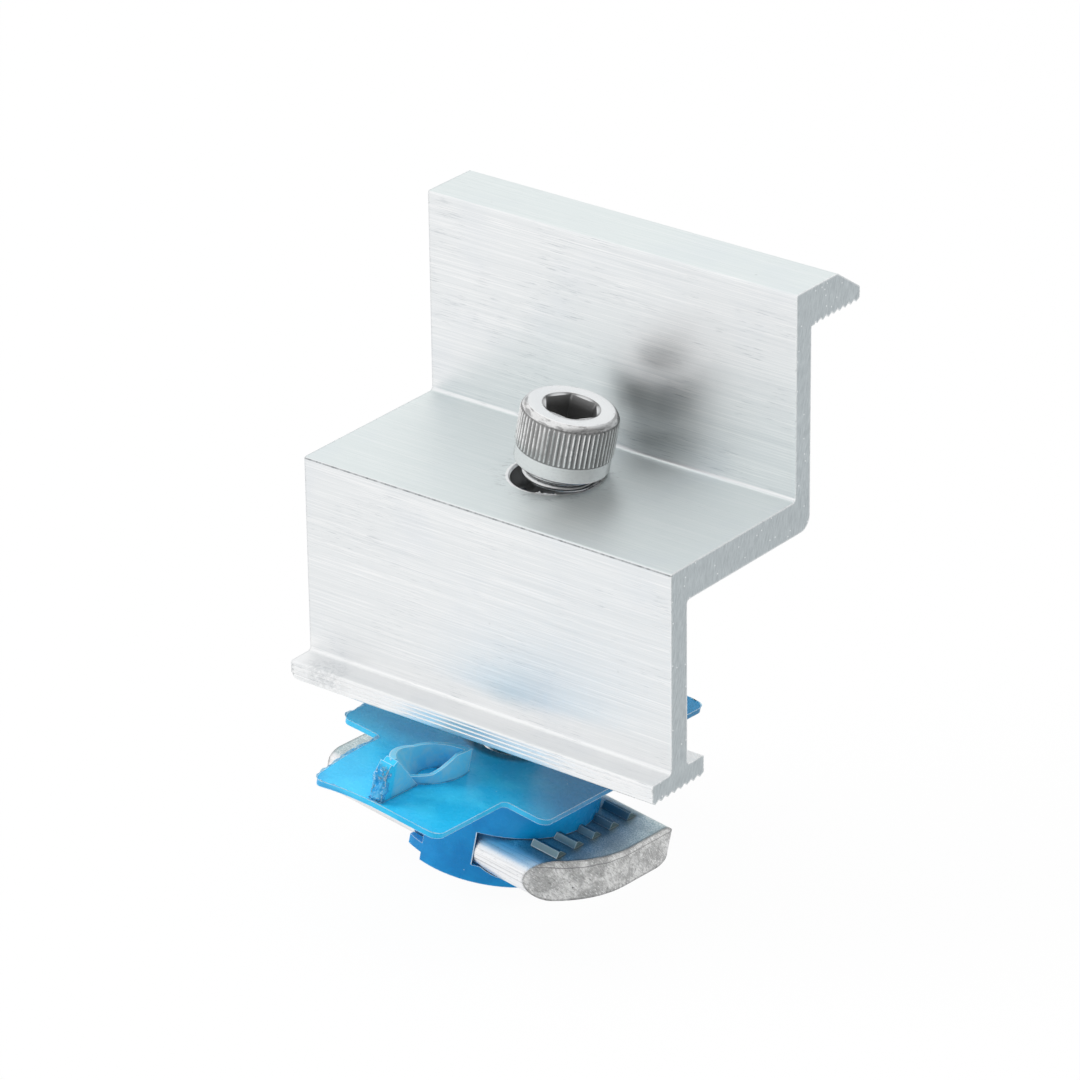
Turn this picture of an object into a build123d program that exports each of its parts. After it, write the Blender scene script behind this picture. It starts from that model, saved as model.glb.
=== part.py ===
"""Solar end clamp: an extruded Z-shaped clamp, its cap screw and spring, and the moulded
holder that keeps the channel nut under it.

Millimetres, +Z up. X runs along the extrusion, and +Y points to the solar module.
The origin lies on the clamp's module-side face, at mid-length, level with the step's top.
"""

from build123d import *
from math import asin, cos, pi, radians, sin, sqrt, tan
import os

# Clamp extrusion
CLAMP_LENGTH = 60.0
UPPER_WEB = 3.2  # wall that rises from the step to the hook
LOWER_WEB = 3.35  # wall that drops from the step to the foot
STEP_THICKNESS = 4.85
STEP_DEPTH = 30.0  # from the module-side face to the lower web's front
TOP_HEIGHT = 28.85  # from the step's top to the top of the hook
HOOK_FLAT = 5.7  # flat top past the module-side face
HOOK_REACH = 10.7
HOOK_DROP = 3.4  # fall of the slope from the flat top to the tip
HOOK_TIP = 1.95  # height of the tip's end face
HOOK_LAND = 0.8  # flat beside the web, where the hook's teeth stop
BASE_HEIGHT = 31.2  # from the step's top down to the foot's tooth tips
FOOT_THICKNESS = 2.9
FOOT_FRONT = 4.05  # foot past the lower web's front
FOOT_BACK = 3.6  # foot past the lower web's back
TOOTH_PITCH = 1.3
TOOTH_DEPTH = 0.45
TOOTH_CREST = 0.6  # where each tooth's tip lies, as a share of the pitch
HEEL_RADIUS = 2.0  # outer corner under the upper web
ROOT_RADIUS = 0.6
EDGE_RADIUS = 0.35
LINE_PITCH = 0.62  # lengthwise drawing lines on the foot's two faces
LINE_DEPTH = 0.12
LINE_HALF_WIDTH = 0.12
LINE_COUNT = 3
DENT_LENGTH = 1.0  # knocked corner at the foot's left end
DENT_HEIGHT = 0.7
DENT_DEPTH = 3.0

# Screw hole in the step
HOLE_RADIUS = 6.0
HOLE_TO_FACE = 14.85  # hole centre from the module-side face
HOLE_BREAK = 0.25

# Place of the screw and what it carries: they lean in the clearance hole
LEAN = 10.1
LEAN_HEADING = 28.0  # towards which the head leans, from +X
TWIST = 1.5  # of the nut and holder about the screw, from +X
AXIS_OFFSET = 0.75  # of the axis from the hole centre, towards the module, at the step's top
SEAT_RISE = 1.35  # of the head's underside above the step's top, along the axis

# Cap screw
THREAD_RADIUS = 3.95
SCREW_LENGTH = 55.0
TIP_CHAMFER = 0.8
HEAD_HEIGHT = 8.5
HEAD_BAND_RADIUS = 6.4
HEAD_BAND = 2.3
KNURL_RADIUS = 6.62
KNURL_DEPTH = 0.2
KNURL_COUNT = 60
HEAD_CHAMFER = 0.6
HEAD_ROUND = 0.6
HEX_FLATS = 6.0
HEX_DEPTH = 4.6
HEX_MOUTH = 0.55  # width of the cone at the mouth of the socket, past the flats
HEX_TURN = 7.0
DRILL_ANGLE = 30.0  # slope of the drilled cone under the socket

# Compression spring
WIRE = 0.8
WIRE_CLEARANCE = 0.2  # between the wire and the screw
CLOSED_TURNS = 3
OPEN_TURNS = 9
POINTS_PER_TURN = 12  # of the wire's path
CLOSED_GAP = 0.03
END_GAP = 0.05

# Nut holder
PLATE_DROP = 41.1  # from the head's underside to the plate's top
PLATE_THICKNESS = 0.8
PLATE_OFFSET = 0.35  # of the plate's middle from the axis, towards -X
ARM_HALF_WIDTH = 10.35
ARM_REACH = 29.0
BACK_ARM_SHIFT = 1.7  # of the back arm from the front one, towards +X
EAR_HALF_WIDTH = 14.6
EAR_REACH = 17.15
PLATE_CORNER = 1.5
PLATE_INNER = 0.8
SAG_START = 20.0  # from the axis, towards the sagging corner
SAG_RADIUS = 26.0
HUB_RADIUS = 13.5
HUB_HEIGHT = 7.2
FLOOR_THICKNESS = 1.15
SPRING_BORE_GAP = 0.35
TIP_BORE_GAP = 0.6
RIM_DROP = 1.8  # of the ledge in the slot's side, below the nut's middle
NOTCH_START = 2.3  # from the axis to the notch that opens one end of each side wall
NOTCH_DEPTH = 5.5
LIP_END = 4.9  # from the axis to the end of the low lip left in the notch

# Grip fin and the thin scoop behind it, on the plate
FIN_THICKNESS = 1.8
FIN_SIDE = 0.2  # the fin's right face from the holder's middle
FIN_HEEL = 20.7  # where the sloping back edge meets the plate
FIN_HEIGHT = 5.6
FIN_ROOT = 0.5  # depth that the fin and scoop reach into the plate
FIN_END = 28.5
FIN_BREAK = [(-1.4, 0.5), (-0.9, 0.1), (-0.3, 1.1), (0, 1.9), (-0.3, 3.0), (0.1, 4.3)]
# Points down the broken end: each past FIN_END, then below the fin's top
SCOOP_MOUTH = (2.3, -12.4)  # upright end beside the spring hole
SCOOP_OVERLAP = 0.5  # of the scoop's tip with the fin's sloping edge
SCOOP_WALL = 0.45
SCOOP_POINT = 2.5  # how far the hollow stops short of the pointed ends, in walls
SCOOP_SIDES = [(-0.5, (2.2, -16.9), (-1.8, -15.6)), (5.6, (1.1, -20.0), (-3.9, -18.8))]
# Sections of the scoop: height over the plate, then a point on each side
SCOOP_RIM = 3.5
RIM_RISE_START = 18.2  # back wall, from where its rim climbs to the fin's top
RIM_FALL = [(-15.3, 3.5), (-19.3, 1.5)]  # front wall's rim: past the axis, then height

# Channel nut
NUT_LENGTH = 41.2
NUT_WIDTH = 24.6
NUT_THICKNESS = 6.2
NUT_SWING_RADIUS = 18.0  # of the two corners that clear the rail as the nut turns
NUT_SWING_START = 2.0
NUT_CORNER = 1.3  # rounding of the other two corners
NUT_BORE = 4.0
NUT_CLEARANCE = 0.1
RIDGE_COUNT = 5
RIDGE_PITCH = 4.0
RIDGE_START = 11.8
RIDGE_END = 16.1
RIDGE_HEIGHT = 0.9
RIDGE_BASE = 2.2
RIDGE_LEAN = 0.7  # from the ridge's middle to its crest's steep side
RIDGE_CREST = 0.45

# Worked out from the sizes above
HALF = CLAMP_LENGTH / 2
NUT_TOP = -(PLATE_DROP + PLATE_THICKNESS + HUB_HEIGHT)
NUT_MIDDLE = NUT_TOP - NUT_THICKNESS / 2
NUT_BOTTOM = NUT_TOP - NUT_THICKNESS
HUB_BOTTOM = NUT_BOTTOM - NUT_CLEARANCE - FLOOR_THICKNESS
SPRING_RADIUS = THREAD_RADIUS + WIRE_CLEARANCE + WIRE / 2


def screw_frame():
    """Plane at the middle of the head's underside, its Z along the leaning screw."""
    lean, heading = radians(LEAN), radians(LEAN_HEADING)
    along = Vector(sin(lean) * cos(heading), sin(lean) * sin(heading), cos(lean))
    foot = Vector(0, AXIS_OFFSET - HOLE_TO_FACE, 0)
    twist = radians(TWIST)
    return Plane(
        origin=foot + along * SEAT_RISE,
        x_dir=Vector(cos(twist), sin(twist), 0),
        z_dir=along,
    )


def tooth_row(start, end, level):
    """Saw-tooth points from y = start to y = end, their tips at z = level."""
    count = round(abs(end - start) / TOOTH_PITCH)
    pitch = (end - start) / count
    up = level + TOOTH_DEPTH
    points = []
    for i in range(count):
        points.append((start + i * pitch, up))
        points.append((start + (i + TOOTH_CREST) * pitch, level))
    return points + [(end, up)]


def drawing_lines(y, inward, top, bottom):
    """Shallow V lines down one face of the foot, from z = top to z = bottom."""
    step = LINE_PITCH if top < bottom else -LINE_PITCH
    middle = (top + bottom) / 2 - step * (LINE_COUNT - 1) / 2
    half = LINE_HALF_WIDTH if top < bottom else -LINE_HALF_WIDTH
    points = []
    for i in range(LINE_COUNT):
        z = middle + i * step
        points.append((y, z - half))
        points.append((y + inward * LINE_DEPTH, z))
        points.append((y, z + half))
    return points


def clamp_section():
    """Outline of the extrusion, as (y, z) points, round the profile from the top front."""
    front = -UPPER_WEB
    hook_under = TOP_HEIGHT - HOOK_DROP - HOOK_TIP
    web_front = -STEP_DEPTH
    web_back = web_front + LOWER_WEB
    foot_front = web_front - FOOT_FRONT
    foot_back = web_back + FOOT_BACK
    foot_top = -BASE_HEIGHT + FOOT_THICKNESS
    foot_low = -BASE_HEIGHT + TOOTH_DEPTH
    points = [(front, 0), (front, TOP_HEIGHT), (HOOK_FLAT, TOP_HEIGHT)]
    points += [(HOOK_REACH, TOP_HEIGHT - HOOK_DROP)]
    points += tooth_row(HOOK_REACH, HOOK_LAND, hook_under)
    points += [(HOOK_LAND, hook_under), (0, hook_under)]
    points += [(0, -STEP_THICKNESS), (web_back, -STEP_THICKNESS)]
    points += [(web_back, foot_top), (foot_back, foot_top)]
    points += drawing_lines(foot_back, -1, foot_top, foot_low)
    points += tooth_row(foot_back, foot_front, -BASE_HEIGHT)
    points += drawing_lines(foot_front, 1, foot_low, foot_top)
    points += [(foot_front, foot_top), (web_front, foot_top), (web_front, 0)]
    return points


def end_clamp():
    """The extrusion with its screw hole and the knocked corner of its foot."""
    section = make_face(Polyline(*clamp_section(), close=True))
    heel = section.vertices().sort_by_distance((0, -STEP_THICKNESS, 0))[0]
    section = fillet(heel, HEEL_RADIUS)
    web_front, web_back = -STEP_DEPTH, -STEP_DEPTH + LOWER_WEB
    foot_top = -BASE_HEIGHT + FOOT_THICKNESS
    roots = [(-UPPER_WEB, 0), (web_back, -STEP_THICKNESS)]
    roots += [(web_back, foot_top), (web_front, foot_top)]
    for y, z in roots:
        corner = section.vertices().sort_by_distance((y, z, 0))[0]
        section = fillet(corner, ROOT_RADIUS)
    edges = [(-UPPER_WEB, TOP_HEIGHT), (HOOK_FLAT, TOP_HEIGHT), (web_front, 0)]
    edges += [(HOOK_REACH, TOP_HEIGHT - HOOK_DROP)]
    edges += [(web_front - FOOT_FRONT, foot_top), (web_back + FOOT_BACK, foot_top)]
    for y, z in edges:
        corner = section.vertices().sort_by_distance((y, z, 0))[0]
        section = fillet(corner, EDGE_RADIUS)
    body = extrude(Plane.YZ * section, HALF, both=True)

    hole = Pos(0, -HOLE_TO_FACE, -STEP_THICKNESS / 2)
    body -= hole * Cylinder(HOLE_RADIUS, 2 * STEP_THICKNESS)
    rim = Cone(HOLE_RADIUS, HOLE_RADIUS + HOLE_BREAK, HOLE_BREAK)
    body -= Pos(0, -HOLE_TO_FACE, -HOLE_BREAK / 2) * rim

    dent = Polyline(
        (-HALF, -BASE_HEIGHT),
        (-HALF + DENT_LENGTH, -BASE_HEIGHT),
        (-HALF, -BASE_HEIGHT + TOOTH_DEPTH + DENT_HEIGHT),
        close=True,
    )
    front = Plane.XZ.offset(STEP_DEPTH + FOOT_FRONT)
    return body - extrude(front * make_face(dent), -DENT_DEPTH)


def knurled_ring():
    """Head blank whose outline is a ring of fine ribs."""
    points = []
    for i in range(KNURL_COUNT):
        for k, radius in ((0, KNURL_RADIUS), (0.5, KNURL_RADIUS - KNURL_DEPTH)):
            angle = 2 * pi * (i + k) / KNURL_COUNT
            points.append((radius * cos(angle), radius * sin(angle)))
    ribs = extrude(make_face(Polyline(*points, close=True)), HEAD_HEIGHT - HEAD_BAND)
    chamfered = chamfer(
        Cylinder(KNURL_RADIUS, HEAD_HEIGHT).edges().group_by(Axis.Z)[-1], HEAD_CHAMFER
    )
    return (Pos(0, 0, HEAD_BAND) * ribs) & (Pos(0, 0, HEAD_HEIGHT / 2) * chamfered)


def cap_screw():
    """Socket head cap screw; its thread is drawn at the full diameter."""
    band = Pos(0, 0, HEAD_BAND / 2) * Cylinder(HEAD_BAND_RADIUS, HEAD_BAND)
    band = fillet(band.edges().group_by(Axis.Z)[0], HEAD_ROUND)
    shank = Pos(0, 0, -SCREW_LENGTH / 2) * Cylinder(THREAD_RADIUS, SCREW_LENGTH)
    shank = chamfer(shank.edges().group_by(Axis.Z)[0], TIP_CHAMFER)
    screw = knurled_ring() + band + shank

    corner = HEX_FLATS / sqrt(3)
    floor = HEAD_HEIGHT - HEX_DEPTH
    hexagon = Rot(0, 0, HEX_TURN) * RegularPolygon(corner, 6)
    screw -= Pos(0, 0, floor) * extrude(hexagon, HEX_DEPTH)
    drill_depth = HEX_FLATS / 2 * tan(radians(DRILL_ANGLE))
    screw -= Pos(0, 0, floor - drill_depth / 2) * Cone(0, HEX_FLATS / 2, drill_depth)
    mouth = HEX_FLATS / 2 + HEX_MOUTH
    screw -= Pos(0, 0, HEAD_HEIGHT - HEX_MOUTH / 2) * Cone(mouth - HEX_MOUTH, mouth, HEX_MOUTH)
    return screw


def spring_rise(turn):
    """Height of the wire's middle after a number of turns from the bottom."""
    closed_pitch = WIRE + CLOSED_GAP
    low = NUT_TOP + END_GAP + WIRE / 2
    high = -END_GAP - WIRE / 2
    stack = CLOSED_TURNS * closed_pitch
    open_pitch = (high - low - 2 * stack) / OPEN_TURNS
    below = min(turn, CLOSED_TURNS)
    between = min(max(turn - CLOSED_TURNS, 0), OPEN_TURNS)
    above = max(turn - CLOSED_TURNS - OPEN_TURNS, 0)
    return low + (below + above) * closed_pitch + between * open_pitch


def spring():
    """Round-wire spring: an open coil between two stacks of closed turns."""
    points = []
    for i in range((2 * CLOSED_TURNS + OPEN_TURNS) * POINTS_PER_TURN + 1):
        turn = i / POINTS_PER_TURN
        angle = 2 * pi * turn
        points.append((SPRING_RADIUS * cos(angle), SPRING_RADIUS * sin(angle), spring_rise(turn)))
    path = Spline(*points)
    wire = Plane(origin=path @ 0, z_dir=path % 0) * Circle(WIRE / 2)
    return sweep(wire, path=path, is_frenet=True)


def plate_outline():
    """Cross of two long arms and two short ears, with rounded corners."""
    arm = Rectangle(2 * ARM_HALF_WIDTH, ARM_REACH)
    cross = Rectangle(2 * EAR_REACH, 2 * EAR_HALF_WIDTH)
    cross += Pos(0, -ARM_REACH / 2) * arm
    cross += Pos(BACK_ARM_SHIFT, ARM_REACH / 2) * arm
    inner = cross.vertices().sort_by_distance((0, 0, 0))[:4]
    cross = fillet(inner, PLATE_INNER)
    outer = cross.vertices().sort_by_distance((0, 0, 0))[-8:]
    return Pos(-PLATE_OFFSET, 0) * fillet(outer, PLATE_CORNER)


def sagging_sheet():
    """Sheet that is flat over the hub and rolls down towards one corner of the cross."""
    reach = ARM_REACH + EAR_REACH
    corner = (ARM_REACH + ARM_HALF_WIDTH + PLATE_OFFSET) / sqrt(2)
    turn = asin((corner - SAG_START) / SAG_RADIUS)
    start = Edge.make_line((-reach, 0), (SAG_START, 0))
    bend = CenterArc((SAG_START, -SAG_RADIUS), SAG_RADIUS, 90, -turn * 180 / pi)
    end, way = bend @ 1, bend % 1
    down = Vector(way.Y, -way.X)
    lower_bend = CenterArc(
        (SAG_START, -SAG_RADIUS), SAG_RADIUS - PLATE_THICKNESS, 90, -turn * 180 / pi
    )
    lower_end = end + down * PLATE_THICKNESS
    section = make_face(
        [
            start,
            bend.edge(),
            Edge.make_line(end, lower_end),
            lower_bend.edge(),
            Edge.make_line((SAG_START, -PLATE_THICKNESS), (-reach, -PLATE_THICKNESS)),
            Edge.make_line((-reach, -PLATE_THICKNESS), (-reach, 0)),
        ]
    )
    side = Plane(origin=(0, 0, -PLATE_DROP), x_dir=(-1, -1, 0), z_dir=(-1, 1, 0))
    return extrude(side * section, reach, both=True)


def grip_fin():
    """Upright fin at the plate's front, its end and top left rough where it broke."""
    rough = [(-FIN_END - past, FIN_HEIGHT - below) for past, below in FIN_BREAK]
    outline = Polyline(
        (-FIN_HEEL + FIN_ROOT, -FIN_ROOT),
        (-FIN_HEEL - FIN_HEIGHT, FIN_HEIGHT),
        *rough,
        (rough[-1][0], -FIN_ROOT),
        close=True,
    )
    left = Plane.YZ.offset(FIN_SIDE - FIN_THICKNESS)
    return Pos(0, 0, -PLATE_DROP) * extrude(left * make_face(outline), FIN_THICKNESS)


def scoop_section(height, right_side, left_side, inset):
    """Pointed oval from the spring hole to the fin's sloping edge, drawn in by inset."""
    fin_middle = FIN_SIDE - FIN_THICKNESS / 2
    tip = (fin_middle, -FIN_HEEL - SCOOP_OVERLAP - height + SCOOP_POINT * inset)
    mouth = (SCOOP_MOUTH[0] - inset, SCOOP_MOUTH[1] - SCOOP_POINT * inset)
    right = ThreePointArc(tip, (right_side[0] - inset, right_side[1]), mouth)
    left = ThreePointArc(mouth, (left_side[0] + inset, left_side[1]), tip)
    return Pos(0, 0, height) * make_face([right.edge(), left.edge()])


def scoop():
    """Thin wall that widens along the fin's slope, its rim high behind and low in front."""
    outer = loft([scoop_section(*side, 0) for side in SCOOP_SIDES])
    wall = outer - loft([scoop_section(*side, SCOOP_WALL) for side in SCOOP_SIDES])
    slope_top = -FIN_HEEL - SCOOP_OVERLAP - FIN_HEIGHT
    back = [(0, SCOOP_RIM), (-RIM_RISE_START, SCOOP_RIM), (slope_top, FIN_HEIGHT)]
    front = [(0, SCOOP_RIM), *RIM_FALL, (slope_top, RIM_FALL[-1][1])]
    fin_middle = FIN_SIDE - FIN_THICKNESS / 2
    kept = []
    for rim, side in ((back, -1), (front, 1)):
        profile = Polyline((slope_top, -FIN_HEIGHT), (0, -FIN_HEIGHT), *rim, close=True)
        half = extrude(Plane.YZ.offset(fin_middle) * make_face(profile), side * FIN_HEEL)
        kept.append(wall & half)
    return Pos(0, 0, -PLATE_DROP) * (kept[0] + kept[1])


def nut_slot():
    """Slot through the hub: upright sides down to a ledge that hugs the nut's round edge."""
    width = NUT_WIDTH + 2 * NUT_CLEARANCE
    height = NUT_THICKNESS + 2 * NUT_CLEARANCE
    upright = height / 2 + RIM_DROP
    section = SlotOverall(width, height)
    section += Pos(0, height / 2 - upright / 2) * Rectangle(width, upright)
    return Pos(0, 0, NUT_MIDDLE) * extrude(Plane.YZ * section, NUT_LENGTH, both=True)


def side_notch():
    """Cut that opens the left end of the hub's front wall, but for a low lip."""
    roof = NUT_MIDDLE + NUT_THICKNESS / 2 + NUT_CLEARANCE
    length = HUB_RADIUS - NOTCH_START
    height = roof - HUB_BOTTOM
    middle = Pos(-NOTCH_START - length / 2, -HUB_RADIUS + NOTCH_DEPTH / 2, 0)
    cut = middle * Pos(0, 0, roof - height / 2) * Box(length, NOTCH_DEPTH, height)
    lip_top = NUT_MIDDLE - RIM_DROP
    lip_height = lip_top - NUT_BOTTOM + NUT_CLEARANCE
    lip = Box(LIP_END - NOTCH_START, NOTCH_DEPTH, lip_height)
    lip_middle = -(LIP_END + NOTCH_START) / 2
    return cut - Pos(lip_middle, middle.position.Y, lip_top - lip_height / 2) * lip


def nut_holder():
    """Moulded holder: cross plate, hub with a slot for the nut, and the grip on top."""
    top = -PLATE_DROP
    prism = Pos(0, 0, top - SAG_RADIUS / 2) * extrude(plate_outline(), SAG_RADIUS)
    plate = sagging_sheet() & prism
    hub_length = top - PLATE_THICKNESS / 2 - HUB_BOTTOM
    hub = Pos(0, 0, HUB_BOTTOM + hub_length / 2) * Cylinder(HUB_RADIUS, hub_length)
    hub -= nut_slot()
    for turn in (0, 180):
        hub -= Rot(0, 0, turn) * side_notch()

    body = plate + hub + grip_fin() + scoop()
    spring_bore = SPRING_RADIUS + WIRE / 2 + SPRING_BORE_GAP
    body -= Pos(0, 0, top) * Cylinder(spring_bore, 2 * (top - NUT_MIDDLE))
    tip_bore = THREAD_RADIUS + TIP_BORE_GAP
    return body - Pos(0, 0, HUB_BOTTOM) * Cylinder(tip_bore, NUT_THICKNESS)


def nut_outline():
    """Plan of the nut: two rounded corners and two swept ones that let it turn in."""
    end, side = NUT_LENGTH / 2, NUT_WIDTH / 2
    centre_x = end - NUT_SWING_RADIUS
    drop = side + NUT_SWING_START
    corner_x = centre_x + sqrt(NUT_SWING_RADIUS**2 - drop**2)
    angle = asin(drop / NUT_SWING_RADIUS) / 2
    middle_x = centre_x + NUT_SWING_RADIUS * cos(angle)
    middle_y = NUT_SWING_START - NUT_SWING_RADIUS * sin(angle)
    right = ThreePointArc((corner_x, -side), (middle_x, middle_y), (end, NUT_SWING_START))
    left = ThreePointArc((-corner_x, side), (-middle_x, -middle_y), (-end, -NUT_SWING_START))
    edges = [
        Edge.make_line((-end, -side), (corner_x, -side)),
        right.edge(),
        Edge.make_line((end, NUT_SWING_START), (end, side)),
        Edge.make_line((end, side), (-corner_x, side)),
        left.edge(),
        Edge.make_line((-end, -NUT_SWING_START), (-end, -side)),
    ]
    plan = make_face(edges)
    for x, y in ((end, side), (-end, -side)):
        corner = plan.vertices().sort_by_distance((x, y, 0))[0]
        plan = fillet(corner, NUT_CORNER)
    return plan


def channel_nut():
    """Flat bar nut with round long edges and a row of ridges across each end."""
    section = SlotOverall(NUT_WIDTH, NUT_THICKNESS)
    bar = extrude(Plane.YZ * section, NUT_LENGTH, both=True)
    blank = Pos(0, 0, -NUT_THICKNESS) * extrude(nut_outline(), 2 * NUT_THICKNESS)
    nut = bar & blank

    base, half = NUT_THICKNESS / 2, RIDGE_BASE / 2
    crest = base + RIDGE_HEIGHT
    for i in range(RIDGE_COUNT):
        y = (i - (RIDGE_COUNT - 1) / 2) * RIDGE_PITCH
        profile = Polyline(
            (y - half, base - RIDGE_HEIGHT),
            (y - half, base),
            (y - RIDGE_LEAN, crest),
            (y - RIDGE_LEAN + RIDGE_CREST, crest),
            (y + half, base),
            (y + half, base - RIDGE_HEIGHT),
            close=True,
        )
        ridge = extrude(Plane.YZ.offset(RIDGE_START) * make_face(profile), RIDGE_END - RIDGE_START)
        ridge -= Cylinder(HUB_RADIUS + NUT_CLEARANCE, 2 * NUT_THICKNESS)
        nut += ridge
        nut += Rot(0, 0, 180) * ridge
    nut -= Cylinder(NUT_BORE, 2 * NUT_THICKNESS)
    return Pos(0, 0, NUT_MIDDLE) * nut


def main():
    os.makedirs("parts", exist_ok=True)
    place = screw_frame().location
    nodes = {
        "end_clamp": end_clamp(),
        "cap_screw": place * cap_screw(),
        "spring": place * spring(),
        "nut_holder": place * nut_holder(),
        "channel_nut": place * channel_nut(),
    }
    for name, shape in nodes.items():
        export_step(shape, f"parts/{name}.step")


main()
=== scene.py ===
"""Solar end clamp: finishes, fine detail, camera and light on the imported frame."""
import math

import bmesh
import bpy
from mathutils import Matrix, Vector, noise


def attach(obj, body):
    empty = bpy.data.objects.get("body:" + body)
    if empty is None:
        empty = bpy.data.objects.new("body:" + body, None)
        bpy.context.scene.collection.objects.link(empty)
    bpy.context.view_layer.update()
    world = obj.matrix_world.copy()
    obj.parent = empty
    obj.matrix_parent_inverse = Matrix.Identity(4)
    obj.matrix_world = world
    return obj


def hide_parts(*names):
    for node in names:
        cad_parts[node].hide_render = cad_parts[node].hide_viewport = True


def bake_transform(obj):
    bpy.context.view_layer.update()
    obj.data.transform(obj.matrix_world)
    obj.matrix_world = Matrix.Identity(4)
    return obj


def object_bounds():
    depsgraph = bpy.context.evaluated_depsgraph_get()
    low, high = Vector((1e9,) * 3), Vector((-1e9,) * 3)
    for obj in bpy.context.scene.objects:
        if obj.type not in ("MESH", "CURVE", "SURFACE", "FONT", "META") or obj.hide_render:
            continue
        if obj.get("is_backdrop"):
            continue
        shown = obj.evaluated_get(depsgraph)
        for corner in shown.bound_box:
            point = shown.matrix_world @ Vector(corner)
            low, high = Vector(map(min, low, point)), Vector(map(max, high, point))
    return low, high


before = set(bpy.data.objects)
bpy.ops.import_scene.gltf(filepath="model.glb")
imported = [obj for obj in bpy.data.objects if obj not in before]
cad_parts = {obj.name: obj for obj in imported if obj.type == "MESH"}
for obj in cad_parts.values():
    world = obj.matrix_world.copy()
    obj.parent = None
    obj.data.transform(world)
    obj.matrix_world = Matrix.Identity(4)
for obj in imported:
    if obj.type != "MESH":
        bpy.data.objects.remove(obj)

MM = 0.001
cad_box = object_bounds()

# Camera, at the photograph's angle. Angles in degrees, lengths in metres
CAMERA_AZIMUTH = 38.19
CAMERA_ELEVATION = 25.50
CAMERA_ROLL = -0.75
CAMERA_DISTANCE = 0.7638
CAMERA_SHIFT_RIGHT = 0.00919
CAMERA_SHIFT_UP = 0.01255
CAMERA_TARGET = Vector((0, -0.00323, 0))
FOCAL_PIXELS = 5804
IMAGE_PIXELS = 1080
SENSOR_WIDTH = 36

# Studio: the floor in metres, the side that metal sees bright, the light on the rest
FLOOR_GAP = 0.0004
FLOOR_HALF_WIDTH = 3
BRIGHT_SIDE = (-0.74, -0.12, 0.66)
SOFT_LIGHT = 0.5

# The leaning screw's own frame in millimetres: origin under its head, then its axes
SCREW_FOOT = Vector((0.20903, -13.98885, 1.32908))
SCREW_UP = Vector((0.154840, 0.082330, 0.984509)).normalized()
TWIST = math.radians(1.5)
SCREW_RIGHT = Vector((math.cos(TWIST), math.sin(TWIST), 0))
SCREW_RIGHT = (SCREW_RIGHT - SCREW_UP * SCREW_RIGHT.dot(SCREW_UP)).normalized()
SCREW_AHEAD = SCREW_UP.cross(SCREW_RIGHT)
SCREW_TURN = Matrix((SCREW_RIGHT, SCREW_AHEAD, SCREW_UP)).transposed().to_4x4()
SCREW_MATRIX = Matrix.Translation(SCREW_FOOT) @ SCREW_TURN

# Clamp, in millimetres as all that follows
HALF_LENGTH = 30.0
HOLE_MIDDLE = Vector((0, -14.85, 0))
HOLE_RADIUS = 6.0
STEP_FRONT = -30.0
FOOT_TOP = -28.3
SMUDGE_MIDDLE = (-24.5, -34, -29.5)

# Screw: the head's heights are above its underside
HEAD_TOP = 8.48
HEAD_INNER = 5.0
BAND_RADIUS = 6.38
KNURL_LOW = 2.45
KNURL_HIGH = 7.7
KNURL_RADIUS = 6.61
RIB_COUNT = 60
RIB_DEPTH = 0.2
RING_POINTS = 240
SOCKET_RADIUS = 3.95
HEX_APOTHEM = 3.0
HEX_TURN = math.radians(7)
SCREW_LENGTH = 55.0
SHANK_RADIUS = 3.93
THREAD_LENGTH = 28.0
THREAD_PITCH = 1.25
THREAD_CREST = 3.94
THREAD_ROOT = 3.3
THREAD_FADE = 1.3
TIP_CHAMFER = 0.8
STEPS_PER_TURN = 40

# Spring
WIRE = 0.8
WIRE_POINTS = 12
COIL_RADIUS = 4.55
COIL_GAP = 0.05
CLOSED_PITCH = WIRE + 0.03
FOOT_TURNS = 3.0
OPEN_TURNS = 10.5
TOP_TURNS = 1.5

# Holder and nut, down the screw's frame
PLATE_TOP = -41.1
PLATE_RIM_LOW = -42.9
PLATE_LOW = -43.5
NUT_TOP = -49.1
SEAM_LOW = -50.02
SEAM_HIGH = -49.92
RIDGES_NEAR = 11.0
RIDGES_FAR = 16.4
FIN_END = -28.5
LUMP_HALF_SIZE = Vector((1.15, 0.75, 2.35))

# Thin ragged edges
FLASH_STEP = 0.45
FLASH_THICKNESS = 0.09
BURR_START = math.radians(-82)
BURR_SWEEP = math.radians(34)
BURR_THICKNESS = 0.07


class Value:
    """A shader socket that can stand in a Python expression."""

    def __init__(self, nodes, socket):
        self.nodes = nodes
        self.socket = socket

    def __add__(self, other):
        return self.nodes.math("ADD", self, other)

    def __sub__(self, other):
        return self.nodes.math("SUBTRACT", self, other)

    def __rsub__(self, other):
        return self.nodes.math("SUBTRACT", other, self)

    def __mul__(self, other):
        return self.nodes.math("MULTIPLY", self, other)

    def __gt__(self, other):
        return self.nodes.math("GREATER_THAN", self, other)

    def __lt__(self, other):
        return self.nodes.math("LESS_THAN", self, other)

    def __abs__(self):
        return self.nodes.math("ABSOLUTE", self)

    __radd__ = __add__
    __rmul__ = __mul__


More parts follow.
